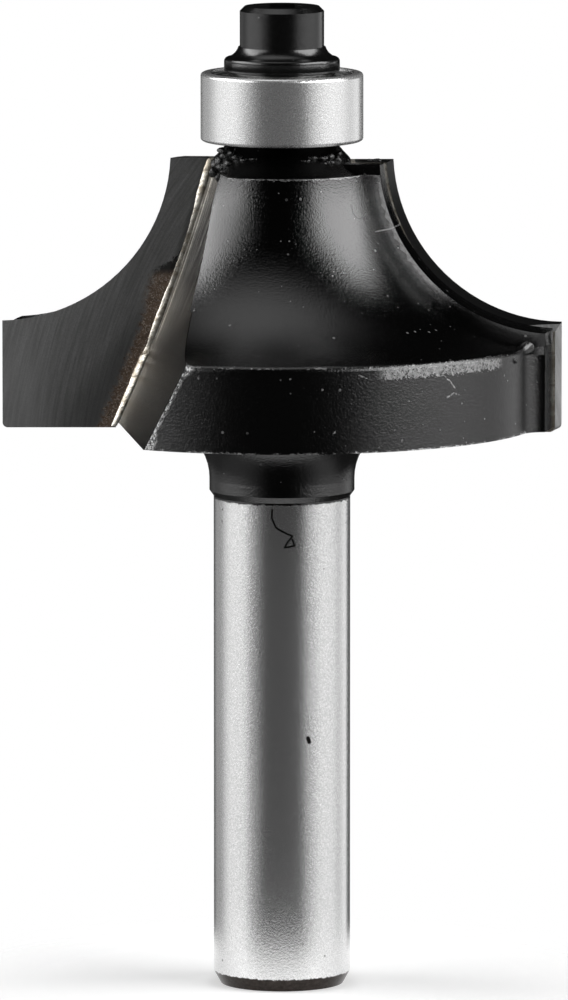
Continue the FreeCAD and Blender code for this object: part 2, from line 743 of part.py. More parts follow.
flutes = range(1, int(value("sizes.flute_count")) + 1)
balls = range(1, int(value("sizes.ball_count")) + 1)
sub_parts = [build_cutter_body()]
sub_parts += [build_carbide_tip(number) for number in flutes]
sub_parts += [build_braze_seam(number) for number in flutes]
sub_parts += [build_outer_ring(), build_inner_ring(), build_cage()]
sub_parts += [build_ball(number) for number in balls]
sub_parts += [build_shield(side) for side in ("top", "bottom")]
sub_parts += [build_snap_ring(side) for side in ("top", "bottom")]
sub_parts += [build_washer(), build_cap_screw()]
document.recompute()

for item in document.Objects:
    if "Invalid" in item.State or "Error" in item.State:
        raise RuntimeError(f"{item.Label} failed to rebuild")
for sub_part in sub_parts:
    if sub_part.Shape.isNull() or not sub_part.Shape.isValid() or len(sub_part.Shape.Solids) != 1:
        raise RuntimeError(f"{sub_part.Label} is not one valid solid")
for sub_part in sub_parts:
    sub_part.Shape.exportStep(f"parts/{sub_part.Label}.step")
    print(f"{sub_part.Label}: {sub_part.Shape.Volume:.2f} mm3")
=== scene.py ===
import json
from math import cos, radians, sin
from types import SimpleNamespace

import bpy
import numpy as np
from mathutils import Matrix, Vector

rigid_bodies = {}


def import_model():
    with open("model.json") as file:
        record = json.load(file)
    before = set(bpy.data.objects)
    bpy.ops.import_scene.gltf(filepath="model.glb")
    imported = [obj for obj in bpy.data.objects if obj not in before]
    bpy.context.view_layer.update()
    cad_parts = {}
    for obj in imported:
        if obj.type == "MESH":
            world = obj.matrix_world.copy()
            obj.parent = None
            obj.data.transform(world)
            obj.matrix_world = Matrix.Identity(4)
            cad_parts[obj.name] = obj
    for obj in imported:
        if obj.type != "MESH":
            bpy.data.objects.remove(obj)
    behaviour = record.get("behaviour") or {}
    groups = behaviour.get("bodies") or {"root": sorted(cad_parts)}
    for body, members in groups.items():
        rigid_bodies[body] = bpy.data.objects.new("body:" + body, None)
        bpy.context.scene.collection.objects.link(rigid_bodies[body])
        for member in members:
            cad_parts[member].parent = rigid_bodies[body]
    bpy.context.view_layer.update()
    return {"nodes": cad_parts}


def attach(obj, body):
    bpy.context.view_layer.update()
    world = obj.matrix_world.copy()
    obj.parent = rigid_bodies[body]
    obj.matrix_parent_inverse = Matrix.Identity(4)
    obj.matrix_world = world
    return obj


# Router bit with a guide bearing, standing on the end of its shank.
# Metres, +Z up the bit's axis; the materials work in millimetres. The camera looks along +Y.

for startUpObject in list(bpy.data.objects):
    bpy.data.objects.remove(startUpObject)

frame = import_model()
scene = bpy.context.scene
scene.view_settings.view_transform = "Standard"
print("frame loaded:", len(frame["nodes"]), "CAD nodes")


# Shader nodes

def addNode(kind, inputs, **settings):
    # One node, in the tree of its inputs. An input is a number, a colour, a vector or a node's socket.
    tree = next(source.id_data for source in inputs.values() if isinstance(source, bpy.types.NodeSocket))
    node = tree.nodes.new("ShaderNode" + kind)
    for name, setting in settings.items():
        setattr(node, name, setting)
    for name, source in inputs.items():
        setInput(node, name, source)
    return node


def setInput(node, name, source):
    if isinstance(source, bpy.types.NodeSocket):
        node.id_data.links.new(source, node.inputs[name])
    else:
        node.inputs[name].default_value = source


def calc(operation, *sources):
    return addNode("Math", dict(enumerate(sources)), operation=operation).outputs[0]


def vectorCalc(operation, *sources):
    node = addNode("VectorMath", dict(enumerate(sources)), operation=operation)
    return node.outputs["Value" if operation in ("LENGTH", "DOT_PRODUCT") else "Vector"]


def straightStep(amount, low, high, start=0.0, end=1.0, kind="LINEAR"):
    # From start at low to end at high, and level beyond both; low may be above high
    ends = {"Value": amount, "From Min": low, "From Max": high, "To Min": start, "To Max": end}
    return addNode("MapRange", ends, interpolation_type=kind).outputs["Result"]


def smoothStep(amount, low, high, start=0.0, end=1.0):
    return straightStep(amount, low, high, start, end, "SMOOTHSTEP")


def spread(share, start, end):
    # A share from 0 to 1 carried to another range
    return straightStep(share, 0, 1, start, end)


def chain(operation, amounts):
    total = amounts[0]
    for amount in amounts[1:]:
        total = calc(operation, total, amount)
    return total


def times(*factors):
    return chain("MULTIPLY", factors)


def plus(*amounts):
    return chain("ADD", amounts)


def minus(amount, taken):
    return calc("SUBTRACT", amount, taken)


def left(share):
    # What a share leaves of one
    return minus(1.0, share)


def apart(amount, other):
    return calc("ABSOLUTE", minus(amount, other))


def largest(*amounts):
    return chain("MAXIMUM", amounts)


def over(amount, limit):
    return calc("GREATER_THAN", amount, limit)


def under(amount, limit):
    return calc("LESS_THAN", amount, limit)


def joined(x, y, z=0.0):
    return addNode("CombineXYZ", {"X": x, "Y": y, "Z": z}).outputs[0]


def lengthOf(vector):
    return vectorCalc("LENGTH", vector)


def scaled(vector, factor):
    return addNode("VectorMath", {0: vector, "Scale": factor}, operation="SCALE").outputs[0]


def tint(colour):
    # A grey from one number, a colour from three; a socket stays as it is
    if isinstance(colour, bpy.types.NodeSocket):
        return colour
    if isinstance(colour, (int, float)):
        return (colour, colour, colour, 1)
    return (*colour, 1)


def blend(factor, first, second):
    return addNode("Mix", {0: factor, 6: tint(first), 7: tint(second)}, data_type="RGBA").outputs[2]


def mix(factor, first, second):
    return addNode("Mix", {0: factor, 2: first, 3: second}, data_type="FLOAT").outputs[0]


noiseEnds = (0.28, 0.72)     # nearly all of the noise lies between these


def grain(where, scale, detail=2.0, roughness=0.55, distortion=0.0):
    # Noise spread out to run from about 0 to about 1
    node = addNode("TexNoise", {"Vector": where, "Scale": scale, "Detail": detail,
                                "Roughness": roughness, "Distortion": distortion})
    return straightStep(node.outputs["Fac"], *noiseEnds)


def stretched(where, stretch):
    return addNode("Mapping", {"Vector": where, "Scale": stretch}).outputs["Vector"]


def speckle(where, scale):
    # Cells of a Voronoi pattern: the distance to each one's middle, and three random numbers for each
    cells = addNode("TexVoronoi", {"Vector": where, "Scale": scale})
    pick = addNode("SeparateColor", {"Color": cells.outputs["Color"]})
    return cells.outputs["Distance"], [pick.outputs[name] for name in ("Red", "Green", "Blue")]


def flecks(distance, chance, size, share):
    # A dot of a size in a share of the cells
    return times(smoothStep(distance, size, size * 0.6), over(chance, 1 - share))


def strokes(place, width, lines):
    # Thin lines through points of a surface laid flat. The distance to each straight run is the length of
    # what is left of the way to its start, once its part along the run is taken off.
    distances = []
    for points in lines:
        for start, end in zip(points, points[1:]):
            run = Vector((end[0] - start[0], end[1] - start[1], 0))
            fromStart = vectorCalc("SUBTRACT", place, (start[0], start[1], 0))
            share = vectorCalc("DOT_PRODUCT", fromStart, run / run.length_squared)
            share = calc("MINIMUM", calc("MAXIMUM", share, 0.0), 1.0)
            distances.append(lengthOf(vectorCalc("SUBTRACT", fromStart, scaled(run, share))))
    return smoothStep(chain("MINIMUM", distances), width, width * 0.5)


def emptyTree(owner):
    # Node tree of a material or a world, with its first nodes taken out
    owner.use_nodes = True
    owner.node_tree.nodes.clear()
    return owner.node_tree


def newMaterial(name):
    material = bpy.data.materials.new(name)
    surface = emptyTree(material).nodes.new("ShaderNodeBsdfPrincipled")
    addNode("OutputMaterial", {"Surface": surface.outputs["BSDF"]})
    return material, surface


def millimetres(node):
    # Object coordinates in millimetres, in the tree that a node is in
    place = node.id_data.nodes.new("ShaderNodeTexCoord").outputs["Object"]
    where = stretched(place, (1000, 1000, 1000))
    axes = addNode("SeparateXYZ", {"Vector": where})
    return where, *(axes.outputs[name] for name in "XYZ")


def roundTheAxis(x, y):
    # Distance from the axis, and the angle from the camera's side, positive towards +X
    return lengthOf(joined(x, y)), calc("ARCTAN2", x, times(y, -1.0))


def bump(surface, height, depth, base=None, strength=1.0):
    # Bump of a depth in metres, laid over another bump or a normal
    inputs = {"Height": height, "Distance": depth, "Strength": strength}
    if base is not None:
        inputs["Normal"] = base
    normal = addNode("Bump", inputs).outputs["Normal"]
    setInput(surface, "Normal", normal)
    return normal


def dress(nodes, material):
    for name in nodes:
        for materialSlot in frame["nodes"][name].material_slots:
            materialSlot.material = material


# Meshes

def bandQuads(rows, points):
    # Quads between neighbouring closed rows, whose points are numbered row by row
    row, point = np.meshgrid(np.arange(rows - 1), np.arange(points), indexing="ij")
    following = (point + 1) % points
    return np.stack([row * points + point, (row + 1) * points + point,
                     (row + 1) * points + following, row * points + following], -1).reshape(-1, 4)


def fan(hub, first, sectors):
    # Triangles from a hub to the sides of the closed row that begins with a first point
    sector = np.arange(sectors)
    return np.stack([np.full(sectors, hub), first + sector, first + (sector + 1) % sectors], -1)


def finishPiece(name, points, faces, material):
    # A piece from points in millimetres, with normals outwards and smooth shading, riding on the cutter
    mesh = bpy.data.meshes.new(name)
    mesh.from_pydata((points / 1000).tolist(), [], faces)
    piece = bpy.data.objects.new(name, mesh)
    scene.collection.objects.link(piece)
    bpy.context.view_layer.objects.active = piece
    piece.select_set(True)
    bpy.ops.object.mode_set(mode="EDIT")
    bpy.ops.mesh.select_all(action="SELECT")
    bpy.ops.mesh.normals_make_consistent(inside=False)
    bpy.ops.object.mode_set(mode="OBJECT")
    piece.select_set(False)
    mesh.shade_smooth()
    mesh.materials.append(material)
    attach(piece, "cutter")


# Gullet: the wall that the rim of a large wheel left in front of each rake face

gullet = {
    "rakeOffset": 0.3,           # rake planes lie this far from the axis
    "tipBase": (9.98, 32.8),     # inner edge of a carbide tip, across and up, at both its ends
    "tipTop": (4.25, 48.65),
    "brazeWidth": 0.25,
    "wheelRadius": 103.0,
    "sweepAngle": 21.8,          # how the wheel's path leaves the rake plane: aside, and up
    "riseAngle": 31.0,
}
sweepSlope = np.tan(radians(gullet["sweepAngle"]))
riseSlope = np.tan(radians(gullet["riseAngle"]))


def wheelCentre():
    # Centre of the circle of the wheel's radius through both ends of the braze's inner edge, on the far side
    base = Vector(gullet["tipBase"]) - Vector((gullet["brazeWidth"], 0))
    top = Vector(gullet["tipTop"]) - Vector((gullet["brazeWidth"], 0))
    chord = base - top
    rise = (gullet["wheelRadius"] ** 2 - chord.length_squared / 4) ** 0.5
    return (base + top) / 2 + Vector((-chord.y, chord.x)).normalized() * rise, base


def gulletPlace(x, y, z):
    # Both flutes folded onto the first. A point goes back along the gullet to its foot on the rake plane;
    # its depth is how far that is, and its distance from the wall is its foot's distance from the wheel's
    # circle, or below the tip from the circle's tangent.
    middle = times(calc("SIGN", x), gullet["rakeOffset"] + 0.01)
    side = calc("SIGN", plus(y, middle))
    across = times(x, side)
    depth = plus(times(y, side), gullet["rakeOffset"])
    footAcross = plus(across, times(depth, sweepSlope))
    footUp = minus(z, times(depth, riseSlope))
    centre, base = wheelCentre()
    toCentre = vectorCalc("SUBTRACT", (centre.x, centre.y, 0), joined(footAcross, footUp))
    outward = (centre - base).normalized()
    level = vectorCalc("DOT_PRODUCT", toCentre, (outward.x, outward.y, 0))
    below = under(footUp, gullet["tipBase"][1])
    distance = minus(mix(below, lengthOf(toCentre), level), gullet["wheelRadius"])
    return side, across, footUp, depth, distance


# Cutter body: bare ground shank, black paint above it, ground gullets, edges worn bright, painted highlights
# along the cone's edge, the flange's bottom rim and a ridge in each gullet, and painted shade low on the
# gullets' walls and in a groove

body = {
    "shankRadius": 4.0,
    "paintEdge": 28.74,          # height at which the paint ends on the shank
    "chamferTop": 0.74,
    "flangeRadius": 15.0,
    "flangeTop": 38.102,
    "flangeBase": 33.1,
    "coneRadius": 5.46,
    "coneTop": 47.95,
    "arcReach": 16.5,            # centre of the profile's quarter circle
    "arcHeight": 49.1,
    "bodyArc": 11.1,             # its radius on the body, and on the turned edge of a wing
    "wingArc": 10.22,
    "wingLand": 15.9,
    "rootRadius": 1.35,          # paint drawn into the corner between a wing and the body
    "rootAngle": 13.2,           # slope of the wing's flat
    "rootEnd": 11.5,             # the corner ends at this distance from the centre of the arc
    "rootRim": (0.3, 0.38),      # and fades at this distance from the flange's rim
    "turnedNear": 0.03,          # nearer than this to a turned edge, a point is on it
}

# Scale, detail and roughness of the noises, and scale of the cells
bodyGrain = {"fine": (9.0, 2.0, 0.7), "ragged": (5.0, 3.0, 0.7), "patchy": (1.1, 3.0, 0.6), "cells": 1.6}

# One colour, or two that noise goes between
bodyColours = {
    "paint": 0.0006,
    "bareSteel": (0.76, 0.93),
    "wornAndHighlitSteel": (0.25, 0.85),
    "burntChamfer": ((0.02, 0.016, 0.013), (0.06, 0.05, 0.045)),
    "pit": 0.03,
    "scratch": 0.95,
    "hair": 0.002,
    "streaks": ((0.03, 0.028, 0.026), (0.8, 0.78, 0.75)),
    "wallStain": (0.1, 0.06, 0.035),
    "paintedWallShade": 0.01,
    "groove": 0.0,
    "ridge": (0.95, 0.92, 0.86),
    "lowerWall": ((0.0015, 0.0009, 0.0006), (0.006, 0.004, 0.003)),
    "wallFleck": (0.5, 0.48, 0.45),
}

# Index of the paint, shares of metal, roughnesses, and depths of the bumps in metres
bodyFinish = {
    "index": 1.72,
    "metal": (0.84, 0.95),
    "paintRoughness": (0.13, 0.19),  # on the cone, and on the flange
    "paintUneven": (-0.02, 0.03),
    "curlRoughness": 0.25,
    "shankRoughness": (0.16, 0.26),
    "bareRoughness": 0.28,
    "fineDepth": 0.000009,
    "streakDepth": 0.000014,
    "wornDepth": 0.00003,
    "fineStrength": (1.0, 0.4),  # on the paint, and on bare steel
}

# Width, and lines through points across and up. Those of the shank and the flange are laid flat.
bodyMarks = {
    "hair": (0.07, [
        [(-0.57, 28.48), (-0.6, 28.0), (-0.36, 27.45), (-0.1, 27.28), (0.2, 27.12), (0.62, 26.94)],
        [(0.62, 26.94), (0.36, 26.62), (0.16, 26.28), (0.4, 26.3), (0.74, 26.38), (0.6, 26.74)]]),
    "scratch": (0.04, [[(-1.07, 2.44), (-0.47, 2.22), (0.0, 1.99), (0.41, 1.51), (0.71, 1.0), (0.95, 0.6)],
                       [(-0.59, 0.95), (-0.37, 0.76)]]),
    "spot": (0.16, [[(1.56, 15.0), (1.64, 14.78)]]),
    "nicks": (0.06, [[(9.99, 37.33), (10.5, 36.95), (10.9, 36.51)],
                     [(10.3, 36.0), (10.8, 36.22), (11.2, 36.1)],
                     [(4.5, 37.6), (4.95, 37.42)], [(2.9, 34.2), (3.2, 34.5)]]),
    "scrape": (0.05, [[(5.44, 44.7), (6.3, 44.82), (6.6, 44.95), (7.26, 45.03)]]),
    "curl": (0.04, [[(4.04, 46.35), (4.1, 45.94), (4.33, 45.58), (4.63, 45.52), (4.86, 45.75)]]),
}

# Size of the dots as a share of a cell, and share of the cells that have one
bodyDots = {
    "pits": (0.09, 0.06),
    "endPits": (0.16, 0.2),
    "wall": (0.12, 0.1),
    "dust": (0.09, 0.5),
    "coarseDust": (0.16, 0.14),
}


def bodyPoint(surface):
    # Where a point of the body lies, and the noises and the cell there
    where, x, y, z = millimetres(surface)
    radius, around = roundTheAxis(x, y)
    side, across, footUp, depth, offWall = gulletPlace(x, y, z)
    cell, chances = speckle(where, bodyGrain["cells"])
    fine, ragged, patchy = (grain(where, *bodyGrain[name]) for name in ("fine", "ragged", "patchy"))
    return SimpleNamespace(x=x, y=y, z=z, radius=radius, around=around, side=side, across=across,
                           footUp=footUp, depth=depth, offWall=offWall, cell=cell, chances=chances,
                           fine=fine, ragged=ragged, patchy=patchy)


def rootNormal(at):
    # Direction that the paint faces between a wing and the body. Away from the wing it is towards the
    # centre of the profile's arc, or on the flange away from the axis, and on the wing's flat straight off
    # it. Within the root radius of both, the two are added, each by how much of that radius is left over it.
    reach = minus(body["arcReach"], at.radius)
    rise = minus(body["arcHeight"], at.z)
    arc = lengthOf(joined(reach, rise))
    onFlange = under(at.z, body["flangeTop"])
    offFlange = minus(at.radius, body["flangeRadius"])
    offBody = mix(onFlange, minus(body["bodyArc"], arc), offFlange)
    turn = radians(body["rootAngle"])
    offWing = minus(times(at.y, at.side, cos(turn)), times(at.across, -sin(turn)))
    lean = mix(onFlange, calc("DIVIDE", reach, arc), 1.0)
    lean = calc("DIVIDE", lean, at.radius)
    climb = mix(onFlange, calc("DIVIDE", rise, arc), 0.0)
    bodyFaces = joined(times(at.x, lean), times(at.y, lean), climb)
    wingFaces = joined(times(at.side, sin(turn)), times(at.side, cos(turn)))
    bodyShare, wingShare = (largest(minus(body["rootRadius"], off), 0.0) for off in (offBody, offWing))
    wingShare = times(wingShare, under(at.across, 0.0))
    faces = vectorCalc("NORMALIZE", vectorCalc("ADD", scaled(bodyFaces, bodyShare),
                                               scaled(wingFaces, wingShare)))
    world = addNode("VectorTransform", {"Vector": faces}, vector_type="NORMAL",
                    convert_from="OBJECT", convert_to="WORLD").outputs[0]
    offTurning = mix(onFlange, apart(arc, body["wingArc"]), apart(at.radius, body["wingLand"]))
    rim = lengthOf(joined(offFlange, minus(at.z, body["flangeTop"])))
    shown = times(over(offTurning, body["turnedNear"]), under(arc, body["rootEnd"]),
                  over(at.z, body["flangeBase"] + 0.05), under(at.z, body["coneTop"] - 0.02),
                  smoothStep(rim, *body["rootRim"]))
    return world, shown


# Steps are given as two places, with the amounts at both where they aren't 0 and 1
shaft = {
    "paintRagged": (-0.08, 0.1),
    "paintFade": 0.02,
    "chamferRagged": (-0.06, 0.06),
    "chamferFade": 0.03,
    "lowPits": (5.0, 1.0),
    "highPits": (26.5, 28.6),
    "markShare": 0.8,
}


def shankSteel(at):
    # Bare up to the paint's ragged edge, with pits, a scratch, a hair and a dark burnt chamfer at its end
    edgeHeight = plus(at.z, spread(at.ragged, *shaft["paintRagged"]))
    fade = shaft["paintFade"]
    shank = smoothStep(edgeHeight, body["paintEdge"] + fade, body["paintEdge"] - fade)
    chamferHeight = plus(at.z, spread(at.ragged, *shaft["chamferRagged"]))
    fade = shaft["chamferFade"]
    chamfer = smoothStep(chamferHeight, body["chamferTop"] + fade, body["chamferTop"] - fade)

    flat = joined(times(at.around, body["shankRadius"]), at.z)
    hair, scratch, spot = (strokes(flat, *bodyMarks[name]) for name in ("hair", "scratch", "spot"))
    nearEnds = largest(smoothStep(at.z, *shaft["lowPits"]), smoothStep(at.z, *shaft["highPits"]))
    pits = largest(flecks(at.cell, at.chances[0], *bodyDots["pits"]),
                   times(flecks(at.cell, at.chances[1], *bodyDots["endPits"]), nearEnds))
    steel = blend(at.fine, *bodyColours["bareSteel"])
    steel = blend(times(pits, shaft["markShare"]), steel, bodyColours["pit"])
    steel = blend(times(scratch, shaft["markShare"]), steel, bodyColours["scratch"])
    steel = blend(largest(hair, spot), steel, bodyColours["hair"])
    burnt = blend(at.ragged, *bodyColours["burntChamfer"])
    return shank, blend(chamfer, steel, burnt)


wall = {
    "near": (0.06, 0.03),        # a point nearer to the wall is on it
    "paintLines": [(14.13, 0.25), (27.0, 0.54)],  # depth of the paint's edge: at no height, and its fall
    "paintRagged": 0.2,
    "paintFade": 0.1,
    "paintedAbove": 40.5,
    "shoulder": (48.2, 48.3),
    "shoulderRagged": 0.5,
    "streakScale": (7.0, 0.2),   # across the streaks, and along them
    "streakGrain": (1.0, 4.0, 0.8, 0.4),
    "streakTones": (0.45, 0.9),
    "stain": (39.5, 35.0, 0.0, 0.8),
    # Painted shade of the wall: how lit it is by height, and by depth
    "light": (38.5, 44.5, 0.16, 1.0),  # by height, and by depth
    "deepPaintedLight": (3.4, 1.0, 0.0, 0.55),
    # A black line of painted shade in a groove
    "grooveDepth": 0.62,
    "grooveEdges": (0.2, 0.08, 0.0, 0.9),
    "grooveShadeTop": (47.0, 45.0),
    # A bright line of painted highlight on a ridge
    "ridgeDepth": 0.95,
    "ridgeEdges": (0.12, 0.04, 0.0, 0.9),
    "ridgeBase": (37.0, 38.0),
    "ridgeGaps": (0.1, 0.4),
    "creaseHeight": 34.2,
    "creaseClimb": 0.18,         # with each millimetre of depth
    "creaseRagged": 0.3,
    "creaseFade": (0.3, 0.0),
}


def wallSteel(at):
    # Streaks of grinding along the wall, smooth and brown below the crease. Paint ran over its far side.
    # Painted shade darkens the wall low down and away from the braze, and lies as a black line in a groove. A
    # bright line on a ridge is a painted highlight.
    edge = largest(*(minus(start, times(at.footUp, fall)) for start, fall in wall["paintLines"]))
    raggedDepth = plus(at.depth, times(at.ragged, wall["paintRagged"]))
    painted = times(smoothStep(raggedDepth, edge, plus(edge, wall["paintFade"])),
                    over(at.z, wall["paintedAbove"]))
    raggedHeight = plus(at.z, times(at.ragged, wall["shoulderRagged"]))
    painted = largest(painted, smoothStep(raggedHeight, *wall["shoulder"]))
    whole = times(smoothStep(calc("ABSOLUTE", at.offWall), *wall["near"]),
                  smoothStep(at.z, body["flangeBase"] - 0.3, body["flangeBase"]))

    def lineAt(name):
        # A line along the wall at a depth
        return smoothStep(apart(at.depth, wall[name + "Depth"]), *wall[name + "Edges"])

    acrossScale, alongScale = wall["streakScale"]
    streakPlace = joined(times(at.depth, acrossScale), times(at.footUp, alongScale))
    streak = grain(streakPlace, *wall["streakGrain"])
    colour = blend(smoothStep(streak, *wall["streakTones"]), *bodyColours["streaks"])
    stain = times(smoothStep(at.footUp, *wall["stain"]), at.patchy)
    colour = blend(stain, colour, bodyColours["wallStain"])
    # Painted shade: the wall darkens low down and away from the braze
    light = largest(smoothStep(at.z, *wall["light"]), smoothStep(at.depth, *wall["deepPaintedLight"]))
    colour = blend(light, bodyColours["paintedWallShade"], colour)
    # Painted shade: a black line along the wall, where a groove would be dark
    groove = times(lineAt("groove"), smoothStep(at.footUp, *wall["grooveShadeTop"]))
    colour = blend(groove, colour, bodyColours["groove"])
    # Painted highlight: a bright line along a ridge of the wall
    ridge = times(lineAt("ridge"), smoothStep(at.footUp, *wall["ridgeBase"]),
                  smoothStep(at.ragged, *wall["ridgeGaps"]))
    colour = blend(ridge, colour, bodyColours["ridge"])

    crease = plus(wall["creaseHeight"], times(at.depth, wall["creaseClimb"]))
    raggedFoot = plus(at.footUp, times(at.ragged, wall["creaseRagged"]))
    lower = smoothStep(minus(raggedFoot, crease), *wall["creaseFade"])
    brown = blend(at.patchy, *bodyColours["lowerWall"])
    dots = flecks(at.cell, at.chances[1], *bodyDots["wall"])
    brown = blend(dots, brown, bodyColours["wallFleck"])
    return SimpleNamespace(whole=whole, painted=painted, bare=times(whole, left(painted)), lower=lower,
                           streak=streak, colour=blend(lower, colour, brown))


wear = {
    "bite": 0.32,                # how far noise eats into an edge
    "flangeFade": (0.15, -0.1),  # over the flange's top
    "mouthWidth": 0.27,
    "mouthFoot": (34.3, 33.4, 0.0, 0.3),
    "mouthHead": (37.3, 37.8, 0.0, 0.3),
    "mouthRadius": (4.6, 5.6),
    "mouthBase": (33.0, 33.15),
    "mouthGaps": (0.2, 0.5),
    "topRim": 0.1,
    "topPatches": (0.3, 0.8, 0.05, 0.7),
    # The flange's bottom rim and the edge of the cone carry painted highlights
    "bottomRimHighlight": 0.09,
    "bottomPatches": (0.4, 0.7),
    "coneRimHighlight": 0.07,
    "conePatches": (0.2, 0.6, 0.0, 0.6),
    "groundStart": (0.36, 0.42),  # band ground under the flange's rim, in radians around
    "groundEnd": (1.03, 0.97),
    "groundLow": (-0.82, -0.72, 1.2),  # its edges over the flange's top, and share of the bite
    "groundHigh": (-0.2, -0.28, 0.5),
    "groundShare": 0.55,
    "nickGaps": (0.3, 0.7),
    "nickRadius": (14.8, 14.9),
    "nickShare": 0.55,
    "dustPatches": (0.1, 0.8, 0.2, 1.0),
    "dustShare": 0.5,
    "scrapeShare": 0.25,
    "dots": (0.15, 0.55, 0.05, 1.0),
}


def wearAndEdgeHighlights(at):
    # Bright wear: the gullet's mouth, the flange's top rim, nicks and dust; and painted highlights along the
    # flange's bottom rim and the edge of the cone
    bitten = times(minus(at.ragged, 0.5), wear["bite"])
    flangeTop = body["flangeTop"]
    onFlange = smoothStep(at.z, *(flangeTop + step for step in wear["flangeFade"]))
    mouthWidth = plus(times(onFlange, wear["mouthWidth"]),
                      smoothStep(at.z, *wear["mouthFoot"]),
                      times(smoothStep(at.z, *wear["mouthHead"]), onFlange))
    mouth = times(smoothStep(plus(calc("ABSOLUTE", at.offWall), bitten), mouthWidth,
                             times(mouthWidth, 0.6)),
                  smoothStep(at.radius, *wear["mouthRadius"]),
                  smoothStep(at.ragged, *wear["mouthGaps"]),
                  smoothStep(at.z, *wear["mouthBase"]), over(at.across, 0.0))

    def rimWearAndHighlight(rimRadius, rimHeight, width, patches):
        # Points nearer than a width to a circle about the axis, with the width bitten into by noise
        gap = lengthOf(joined(minus(at.radius, rimRadius), minus(at.z, rimHeight)))
        near = smoothStep(plus(gap, times(bitten, 0.6)), width, width * 0.7)
        return times(near, smoothStep(at.patchy, *patches))

    def bandEdge(start, end, biteShare):
        return smoothStep(plus(at.z, times(bitten, biteShare)), flangeTop + start, flangeTop + end)

    beforeEnd = smoothStep(at.around, *wear["groundEnd"])
    topRim = times(rimWearAndHighlight(body["flangeRadius"], flangeTop, wear["topRim"], wear["topPatches"]), beforeEnd)
    groundRim = times(smoothStep(at.around, *wear["groundStart"]), beforeEnd,
                      over(at.radius, body["flangeRadius"] - 0.15),
                      bandEdge(*wear["groundLow"]), bandEdge(*wear["groundHigh"]))
    # Painted highlights: thin bright lines along the flange's bottom rim and the cone's edge
    bottomRimHighlight = rimWearAndHighlight(body["flangeRadius"], body["flangeBase"], wear["bottomRimHighlight"], wear["bottomPatches"])
    coneRimHighlight = rimWearAndHighlight(body["coneRadius"], body["coneTop"], wear["coneRimHighlight"], wear["conePatches"])
    wornAndHighlit = times(largest(mouth, topRim, times(groundRim, wear["groundShare"]),
                         bottomRimHighlight, coneRimHighlight), smoothStep(at.fine, *wear["dots"]))

    flangeFlat = joined(times(at.around, body["flangeRadius"]), at.z)
    nicks = times(strokes(flangeFlat, *bodyMarks["nicks"]),
                  smoothStep(at.ragged, *wear["nickGaps"]),
                  smoothStep(at.radius, *wear["nickRadius"]))
    scrape = times(strokes(joined(at.x, at.z), *bodyMarks["scrape"]), under(at.y, 0.0))
    dust = times(largest(flecks(at.cell, at.chances[0], *bodyDots["dust"]),
                         flecks(at.cell, at.chances[2], *bodyDots["coarseDust"])),
                 straightStep(at.patchy, *wear["dustPatches"]))
    return largest(wornAndHighlit, times(nicks, wear["nickShare"]),
                   times(dust, wear["dustShare"]), times(scrape, wear["scrapeShare"]))


def coatedSteel():
    material, surface = newMaterial("coatedSteel")
    at = bodyPoint(surface)
    shank, steel = shankSteel(at)
    ground = wallSteel(at)
    # Bright wear, and painted highlights along two edges
    wornAndHighlit = times(wearAndEdgeHighlights(at), left(shank))
    bare = largest(shank, ground.bare, wornAndHighlit)

    colour = blend(shank, bodyColours["paint"], steel)
    colour = blend(wornAndHighlit, colour, blend(at.ragged, *bodyColours["wornAndHighlitSteel"]))
    setInput(surface, "Base Color", blend(ground.bare, colour, ground.colour))
    setInput(surface, "Metallic", times(bare, spread(at.fine, *bodyFinish["metal"])))
    curl = times(strokes(joined(at.x, at.z), *bodyMarks["curl"]), under(at.y, 0.0))
    roughness = smoothStep(at.z, body["flangeTop"] + 0.1, body["flangeTop"] - 0.1,
                           *bodyFinish["paintRoughness"])
    roughness = plus(roughness, times(curl, bodyFinish["curlRoughness"]),
                     spread(at.ragged, *bodyFinish["paintUneven"]))
    roughness = mix(shank, roughness, spread(at.fine, *bodyFinish["shankRoughness"]))
    roughness = mix(largest(ground.bare, wornAndHighlit), roughness, bodyFinish["bareRoughness"])
    setInput(surface, "Roughness", roughness)
    setInput(surface, "IOR", bodyFinish["index"])

    faces, shown = rootNormal(at)
    shown = largest(shown, times(ground.whole, under(at.z, body["coneTop"]), ground.painted))
    shown = times(shown, left(ground.bare), left(shank))
    given = surface.id_data.nodes.new("ShaderNodeNewGeometry").outputs["Normal"]
    shaped = addNode("Mix", {0: shown, 4: given, 5: faces}, data_type="VECTOR").outputs[1]
    normal = vectorCalc("NORMALIZE", shaped)
    normal = bump(surface, at.fine, bodyFinish["fineDepth"], normal,
                  spread(bare, *bodyFinish["fineStrength"]))
    normal = bump(surface, ground.streak, bodyFinish["streakDepth"], normal,
                  times(ground.bare, left(ground.lower)))
    bump(surface, at.ragged, bodyFinish["wornDepth"], normal, wornAndHighlit)
    return material


dress(["cutter_body"], coatedSteel())


# Carbide tips: grey, ground in fine arcs, darker towards the braze and stained brown beside it

